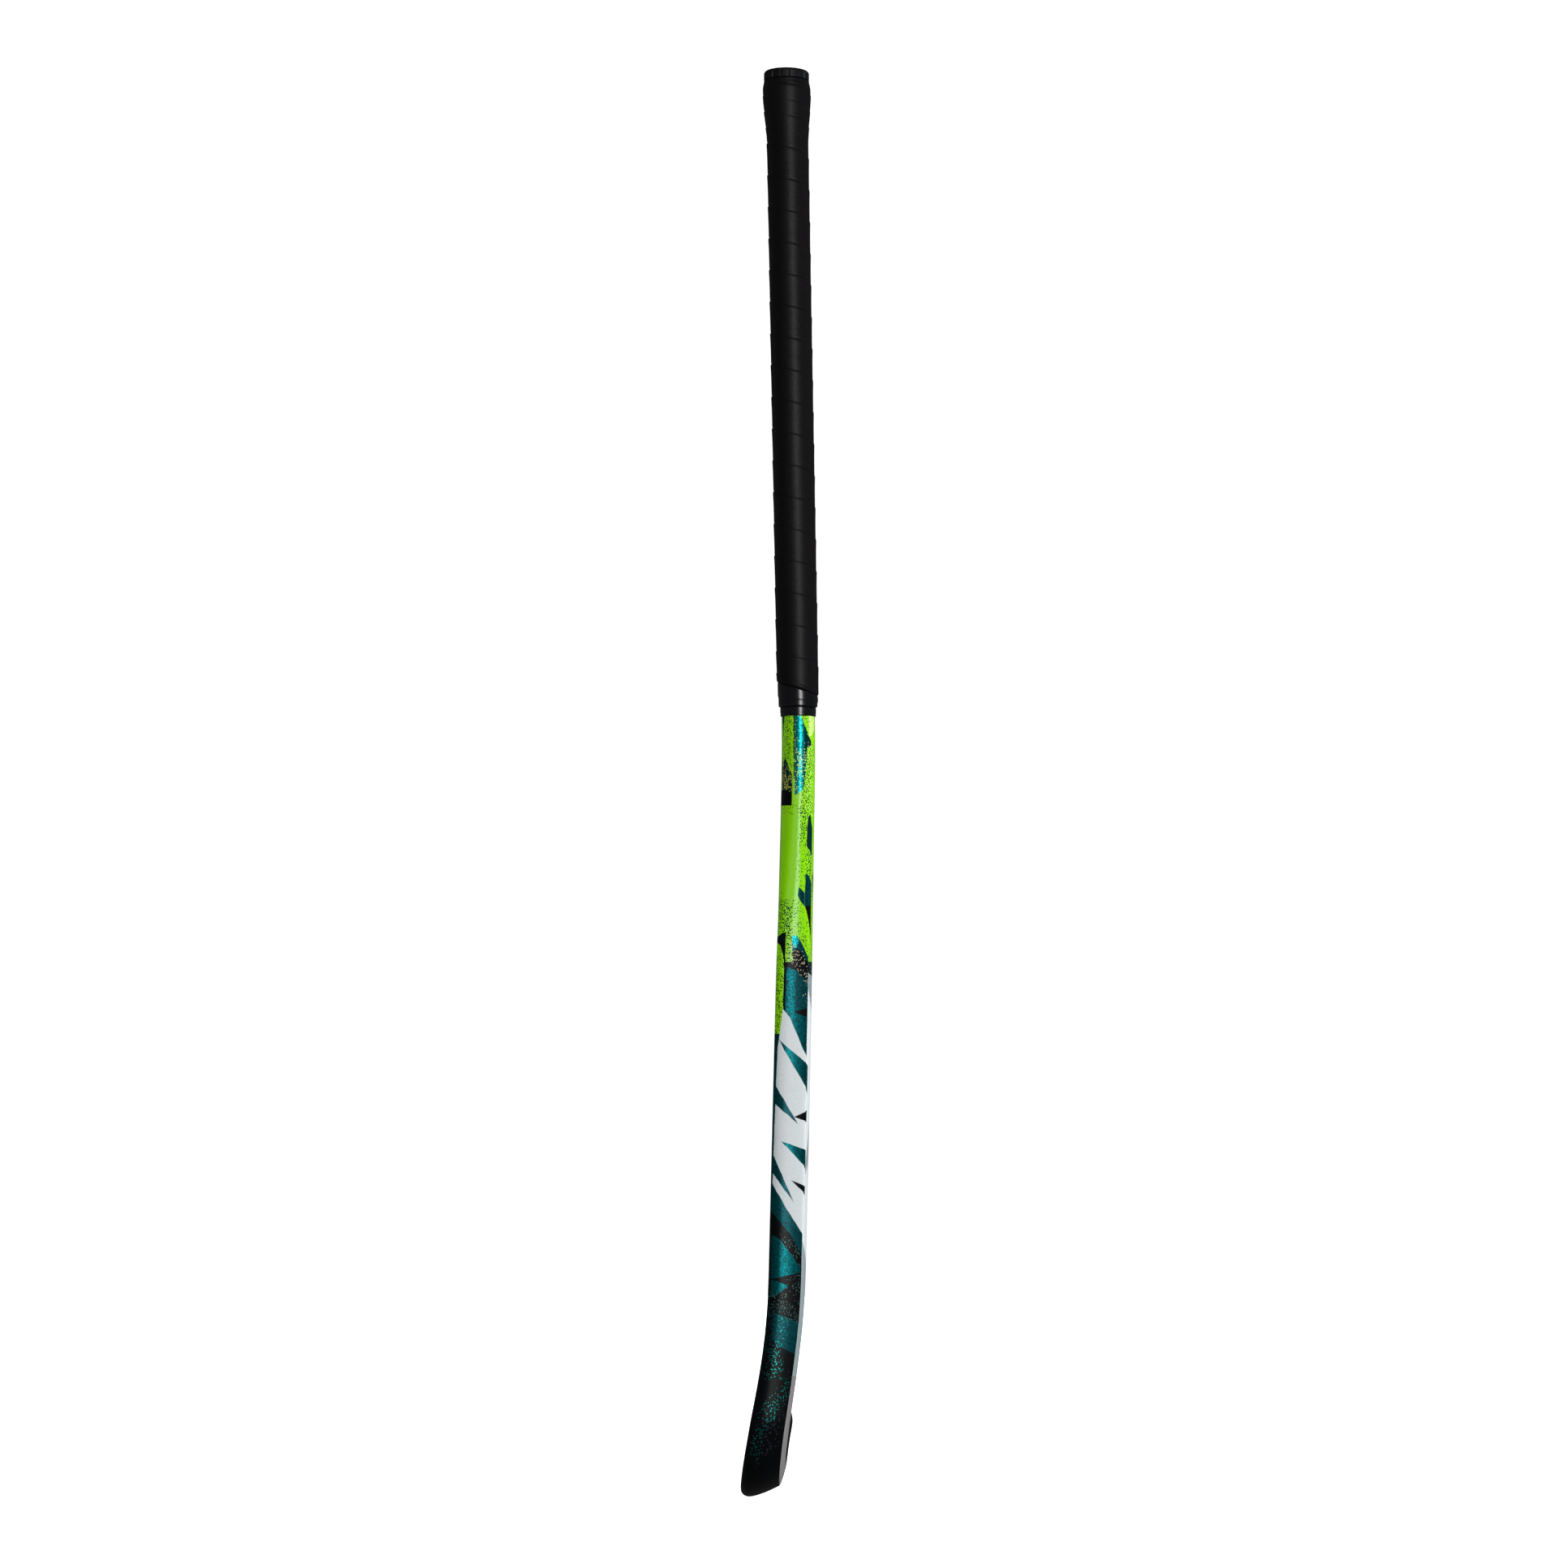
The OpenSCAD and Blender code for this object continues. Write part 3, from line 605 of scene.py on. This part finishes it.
class HandleLook(bpy.types.PropertyGroup):
    """Sizes and colours of the grip, tapes and cap"""

    grip: colour_text("Grip", "Cushion strip", "#121012")
    grip_dark: colour_text("Grip shade", "Cushion strip in its pores", "#080708")
    tape: colour_text("Tape", "Vinyl tape", "#07080b")
    cap: colour_text("Cap", "Butt cap", "#0f1012")
    pitch: FloatProperty(name="Turn height", description="Height of one turn, mm",
                         default=20.7, min=15, max=30)
    step: FloatProperty(name="Overlap step", description="How proud an overlap stands, mm",
                        default=0.45, min=0.1, max=0.8)
    notches: IntProperty(name="Notches", description="Notches round the cap's rim",
                         default=16, min=8, max=24)


class StudioLook(bpy.types.PropertyGroup):
    """Camera and lights"""

    camera_distance: FloatProperty(name="Camera distance", description="From the handle",
                                   default=3.5, unit="LENGTH")
    camera_turn: FloatProperty(name="Camera turn", description="Towards the stick's back",
                               default=math.radians(3.0), subtype="ANGLE")
    camera_height: FloatProperty(name="Camera height", description="Above the floor",
                                 default=0.30, unit="LENGTH")
    aim_height: FloatProperty(name="Aim height", description="Middle of the frame",
                              default=0.4625, unit="LENGTH")
    side_shift: FloatProperty(name="Side shift", description="Aim behind the cap, mm", default=-1.6)
    lens: FloatProperty(name="Lens", description="Focal length, mm", default=124.24)
    key: FloatProperty(name="Key", description="Tall narrow softbox, W", default=28.0)
    fill: FloatProperty(name="Fill", description="Broad front light without a mirror image, W",
                        default=24.0)
    back: FloatProperty(name="Back", description="Light on the rounded back, W", default=60.0)
    rear: FloatProperty(name="Rear", description="Light on the sides turned away, W", default=45.0)


def loose_uv(rows_sections):
    """Running distance round each section, mm, one value more than its points."""
    table = []
    for ring in rows_sections:
        total, row = 0.0, [0.0]
        n = len(ring)
        for i in range(n):
            total += (Vector(ring[(i + 1) % n]) - Vector(ring[i])).length
            row.append(total)
        table.append(row)
    return table


# ---------------------------------------------------------------- pieces
class STICK_OT_laminate(bpy.types.Operator):
    """Build the painted shaft and hook"""

    bl_idname = "stick.laminate"
    bl_label = "Shaft and hook"

    def execute(self, context):
        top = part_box("shell")[1].z / MM
        straight = [BEND_Z - mix(top, GRIP_Z + 6, i / 12) for i in range(12)]
        straight += [BEND_Z - mix(GRIP_Z + 6, BEND_Z, i / 116) for i in range(117)]
        bend = [TOE_TURN * i / 64 for i in range(1, 65)]
        rings, lay = [], []
        for q in straight + bend:
            section = full_section(q, SKIN_IN * ease(q / 20))
            rings.append([place(q, t, u) for t, u, _ in section])
            lay.append([(s, along(q)) for _, _, s in section] + [(4.0, along(q))])
        section = full_section(TOE_TURN, SKIN_IN)
        middle_t = thickness(TOE_TURN) * 0.42
        tip_n = 14
        for i in range(1, tip_n + 1):
            f = math.sin(math.pi / 2 * i / tip_n) * 0.9995
            k = (1 - f**2.2) ** (1 / 2.2)
            rings.append([place(TOE_TURN, middle_t + (t - middle_t) * k, u * k, (TOE_ROUND - SKIN_IN) * f)
                          for t, u, _ in section])
            far = along(TOE_TURN) - TOE_ROUND * f
            lay.append([(s, far) for _, _, s in section] + [(4.0, far)])
        bm, rows = loft(rings)
        skin = [[(d, lay[j][0][1]) for d in row] for j, row in enumerate(loose_uv(rings))]
        lay_uv(bm, rows, lay, "lay")
        lay_uv(bm, rows, skin, "skin")
        finish_mesh(bm, "painted_shaft", painted_laminate(context.scene.stick_paint), "shell")
        return {"FINISHED"}


def bare_ring(z, out, rise=0.0):
    """Oval ring round the handle at height z, out mm beyond the bare laminate. rise lifts
    it at the face and leaves it where it is at the back."""
    section = full_section(BEND_Z - z)
    mid = thickness(BEND_Z - z) / 2
    ring = []
    for t, u, _ in section:
        d = Vector((t - mid, u))
        p = d + d.normalized() * (out(math.atan2(-d.y, -d.x)) if callable(out) else out)
        lift = rise * (1 - d.normalized().x) / 2
        ring.append(place(BEND_Z - z - lift, mid + p.x, p.y))
    return ring


def sleeve(name, heights, out, inner, rise, material, node):
    """A sleeve round the handle: the outer skin from the top down, then back up inside."""
    rings = [bare_ring(z, lambda a, z=z: out(z, a), rise(z)) for z in heights]
    inside = [mix(heights[-1], heights[0], i / 48) for i in range(49)]
    lining = [bare_ring(z, inner(z), rise(z)) for z in inside]
    bm, rows = loft(rings + lining, False, False)
    n = len(rings[0])
    last = [bm.edges.get((rows[-1][i], rows[-1][(i + 1) % n])) for i in range(n)]
    first = [bm.edges.get((rows[0][i], rows[0][(i + 1) % n])) for i in range(n)]
    bmesh.ops.bridge_loops(bm, edges=last + first)
    rows_uv = [[(d, z) for d in row] for row, z in
               zip(loose_uv(rings + lining), heights + inside)]
    lay_uv(bm, rows, rows_uv, "skin")
    return finish_mesh(bm, name, material, node)


def flare(z):
    return FLARE_T * ease((z - (CAP_Z + 0.2 - FLARE_LEN)) / (FLARE_LEN - 8))


class STICK_OT_grip(bpy.types.Operator):
    """Wind the cushion strip round the handle"""

    bl_idname = "stick.grip"
    bl_label = "Wound grip"

    def execute(self, context):
        look = context.scene.stick_handle
        pitch, first_seam = look.pitch, GRIP_Z + SLANT

        def lip(phase):
            below = (phase - math.floor(phase)) * pitch
            proud = look.step * (1 - math.exp(-below / 0.5)) * math.exp(-below / 7.0)
            return proud - 0.4 * math.exp(-(((pitch - below) / 0.6) ** 2))

        def surface_out(z, a):
            phase = (first_seam - z) / pitch - (a / (2 * math.pi)) % 1.0
            # the strip is wound at half the pitch where it starts, at the butt
            twice = 0.6 * ease((z - 882) / 8)
            seams = lip(phase) * (1 - 0.3 * twice) + lip(phase + 0.5) * twice
            ends = ease((CAP_Z - z) / 4) * ease((z - GRIP_Z + 0.4) / 2)
            tuck = CAP_TUCK * (1 - ease((CAP_Z - z) / 6.5))
            tuck += 0.5 * (1 - ease((z - GRIP_Z) / 1.2))
            return GRIP_T + flare(z) + min(seams, look.step) * ends - tuck

        n = 840
        heights = [mix(CAP_Z, GRIP_Z, i / n) for i in range(n + 1)]
        sleeve("wound_grip", heights, surface_out, lambda z: 0.35 + flare(z),
               lambda z: SLANT * ease((GRIP_Z + SLANT_LEN - z) / SLANT_LEN),
               cushion_polyurethane(look), "grip_wrap")
        return {"FINISHED"}


class STICK_OT_tapes(bpy.types.Operator):
    """Wrap the two glossy tape bands below the grip"""

    bl_idname = "stick.tapes"
    bl_label = "Tape bands"

    def execute(self, context):
        mat = vinyl_tape(context.scene.stick_handle)
        for name, node, thick_top, thick_end, slant in (
            ("finishing_tape", "finish_tape", TAPE_T, TAPE_T - 0.4, SLANT),
            ("lower_tape_band", "collar_band", 0.85, 0.7, 0.0),
        ):
            lo, hi = (v.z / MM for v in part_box(node))
            hi -= slant
            n = 28
            heights = [mix(hi, lo, i / n) for i in range(n + 1)]

            def out(z, a, lo=lo, hi=hi, big=thick_top, small=thick_end):
                f = (hi - z) / (hi - lo)
                edge = 0.3 * (1 - ease((hi - z) / 0.5)) + 0.4 * (1 - ease((z - lo) / 0.5))
                return mix(big, small, ease((f - 0.5 + 0.06 * math.sin(3 * a)) / 0.12)) - edge

            sleeve(name, heights, out, lambda z: 0.06,
                   lambda z, lo=lo, hi=hi, slant=slant: slant * ease((z - lo) / (hi - lo)), mat, node)
        return {"FINISHED"}


class STICK_OT_cap(bpy.types.Operator):
    """Mould the notched butt cap"""

    bl_idname = "stick.cap"
    bl_label = "Butt cap"

    def execute(self, context):
        look = context.scene.stick_handle
        lo, hi = CAP_LO / MM, CAP_HI / MM
        a_max, b_max = (hi.x - lo.x) / 2, (hi.y - lo.y) / 2
        cy = (hi.y + lo.y) / 2
        per = 12
        n = look.notches * per

        def ring(z, grow, notch):
            points = []
            for i in range(n):
                a = 2 * math.pi * (i + 0.5) / n
                inner = abs((i % per) - (per - 1) / 2) < 1.1
                g = grow - (notch if inner else 0.0)
                points.append((CAP_X + (a_max + g) * math.cos(a), cy + (b_max + g) * math.sin(a), z))
            return points

        top = hi.z
        low = top - CAP_RIM
        rings = [ring(low, -3.0, 0), ring(low, -0.1, 0.7), ring(low + 0.3, 0, NOTCH)]
        for i in range(1, 6):
            rings.append(ring(mix(low + 0.3, top - CAP_EDGE, i / 5), 0, NOTCH))
        for i in range(1, 9):
            a = math.pi / 2 * i / 8
            up, back = CAP_EDGE * math.sin(a), CAP_EDGE * (1 - math.cos(a))
            rings.append(ring(top - CAP_EDGE + up, -back, NOTCH * (1 - i / 8)))
        # a fine groove sets the flat top apart from the rim
        for z, inward in ((top, 4.5), (top - GROOVE, 4.9), (top - GROOVE, 5.6), (top, 6.0)):
            rings.append(ring(z, -inward, 0))
        bm, _ = loft(rings)
        obj = finish_mesh(bm, "butt_cap", moulded_cap_plastic(look), "end_cap")
        edge = obj.modifiers.new("edges", "BEVEL")
        edge.width, edge.segments, edge.limit_method = 0.00012, 2, "ANGLE"
        edge.angle_limit = math.radians(35)
        return {"FINISHED"}


class STICK_OT_inside(bpy.types.Operator):
    """Finish the pieces inside the laminate"""

    bl_idname = "stick.inside"
    bl_label = "Inner pieces"

    def execute(self, context):
        finishes = {
            "tube_heel": ("uncoated_carbon_laminate", "#1b1b1d", 0.45, 900.0, 0.0002),
            "bladder_heel": ("nylon_film", "#d8ccab", 0.3, 120.0, 0.0003),
            "head_core": ("dense_polyurethane_foam", "#c9b377", 0.8, 1400.0, 0.0003),
            "butt_plug": ("rigid_foam", "#dccb98", 0.85, 900.0, 0.0005),
            "butt_flare": ("build_up_rubber", "#1d1d1f", 0.7, 1500.0, 0.0002),
            "grip_backing": ("cloth_backed_tape", "#c8bda4", 0.75, 1800.0, 0.0002),
        }
        made = {name: plain_inner(*finish) for name, finish in finishes.items()}
        made["tube_toe"], made["bladder_toe"] = made["tube_heel"], made["bladder_heel"]
        for name, mat in made.items():
            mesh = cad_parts[name].data
            mesh.materials.clear()
            mesh.materials.append(mat)
        return {"FINISHED"}


class STICK_OT_studio(bpy.types.Operator):
    """Set out the floor, lights and camera"""

    bl_idname = "stick.studio"
    bl_label = "Studio"

    def execute(self, context):
        look = context.scene.stick_studio
        # floor and backdrop in one: a round floor whose rim curves up into a wall
        bm = bmesh.new()
        rim = bmesh.ops.create_circle(bm, segments=96, radius=8.0, cap_ends=True)["verts"]
        edges = [e for e in bm.edges if len(e.link_faces) == 1]
        wall = bmesh.ops.extrude_edge_only(bm, edges=edges)["geom"]
        for v in (g for g in wall if isinstance(g, bmesh.types.BMVert)):
            v.co.z += 9.0
        corner = list({e for v in rim for e in v.link_edges if all(w.co.z < 1.0 for w in e.verts)})
        bmesh.ops.bevel(bm, geom=corner, offset=3.0, offset_type="OFFSET", segments=12,
                        profile=0.5, affect="EDGES", material=-1)
        mesh = bpy.data.meshes.new("studio_sweep")
        bm.to_mesh(mesh)
        bm.free()
        for poly in mesh.polygons:
            poly.use_smooth = True
        sweep = bpy.data.objects.new("studio_sweep", mesh)
        context.scene.collection.objects.link(sweep)
        paper = new_material("white_paper")
        shader = add(paper, SHADER, {}, {"Base Color": linear("#e8e8e8"), "Roughness": 0.9,
                                         "Emission Color": (1, 1, 1, 1), "Emission Strength": 1.0})
        add(paper, OUTPUT, {}, [shader])
        mesh.materials.append(paper)
        # the sweep shows white but doesn't throw its light back on the dark grip
        sweep.visible_diffuse = sweep.visible_glossy = False
        sweep.visible_transmission = sweep.visible_shadow = False

        axis = Vector((CAP_X + look.side_shift, AXIS_Y, 0)) * MM
        aim = axis + Vector((0, 0, look.aim_height))
        turn = look.camera_turn
        place_at = axis + Vector((look.camera_distance * math.sin(turn),
                                  -look.camera_distance * math.cos(turn), look.camera_height))
        data = bpy.data.cameras.new("camera")
        data.lens, data.sensor_width = look.lens, 36.0
        data.clip_start, data.clip_end = 0.05, 50.0
        camera = bpy.data.objects.new("camera", data)
        camera.location = place_at
        camera.rotation_euler = (aim - place_at).to_track_quat("-Z", "Y").to_euler()
        context.scene.collection.objects.link(camera)
        context.scene.camera = camera

        def softbox(name, place, width, tall, watts, mirrored, target=(0, 0, 0.46)):
            light = bpy.data.lights.new(name, "AREA")
            light.shape, light.size, light.size_y, light.energy = "RECTANGLE", width, tall, watts
            obj = bpy.data.objects.new(name, light)
            obj.location = place
            obj.rotation_euler = (Vector(target) - Vector(place)).to_track_quat("-Z", "Y").to_euler()
            obj.visible_camera, obj.visible_glossy = False, mirrored
            context.scene.collection.objects.link(obj)

        softbox("key_strip", (1.03, -1.94, 0.6), 0.7, 1.9, look.key, True)
        softbox("front_fill", (-0.6, -2.55, 0.7), 1.6, 1.6, look.fill, False)
        softbox("back_fill", (2.0, 0.5, 0.6), 1.2, 1.6, look.back, False)
        softbox("rear_fill", (-0.7, 2.5, 0.7), 1.2, 1.6, look.rear, False)
        softbox("face_fill", (-2.0, 1.5, 0.6), 1.2, 1.6, look.rear, False)
        world = bpy.data.worlds.new("studio")
        context.scene.world = world
        world.use_nodes = True
        sky = world.node_tree.nodes["Background"]
        sky.inputs[0].default_value, sky.inputs[1].default_value = (1, 1, 1, 1), 0.05
        context.scene.view_settings.view_transform = "Standard"
        return {"FINISHED"}


class STICK_PT_panel(bpy.types.Panel):
    """Lists the stick's pieces"""

    bl_idname = "STICK_PT_panel"
    bl_label = "Hockey stick"
    bl_space_type = "VIEW_3D"
    bl_region_type = "UI"
    bl_category = "Stick"

    def draw(self, context):
        for group in ("stick_paint", "stick_handle", "stick_studio"):
            owner = getattr(context.scene, group)
            for key in type(owner).__annotations__:
                self.layout.prop(owner, key)
        for operator in OPERATORS:
            self.layout.operator(operator.bl_idname)


OPERATORS = (STICK_OT_laminate, STICK_OT_grip, STICK_OT_tapes, STICK_OT_cap, STICK_OT_inside,
             STICK_OT_studio)
GROUPS = {"stick_paint": PaintLook, "stick_handle": HandleLook, "stick_studio": StudioLook}


def register():
    for cls in (*GROUPS.values(), *OPERATORS, STICK_PT_panel):
        bpy.utils.register_class(cls)
    for name, group in GROUPS.items():
        setattr(bpy.types.Scene, name, PointerProperty(type=group))


def unregister():
    for name in GROUPS:
        delattr(bpy.types.Scene, name)
    for cls in (STICK_PT_panel, *reversed(OPERATORS), *GROUPS.values()):
        bpy.utils.unregister_class(cls)


def main():
    register()
    bpy.ops.stick.laminate()
    bpy.ops.stick.grip()
    bpy.ops.stick.tapes()
    bpy.ops.stick.cap()
    bpy.ops.stick.inside()
    bpy.ops.stick.studio()


if __name__ == "__main__":
    main()
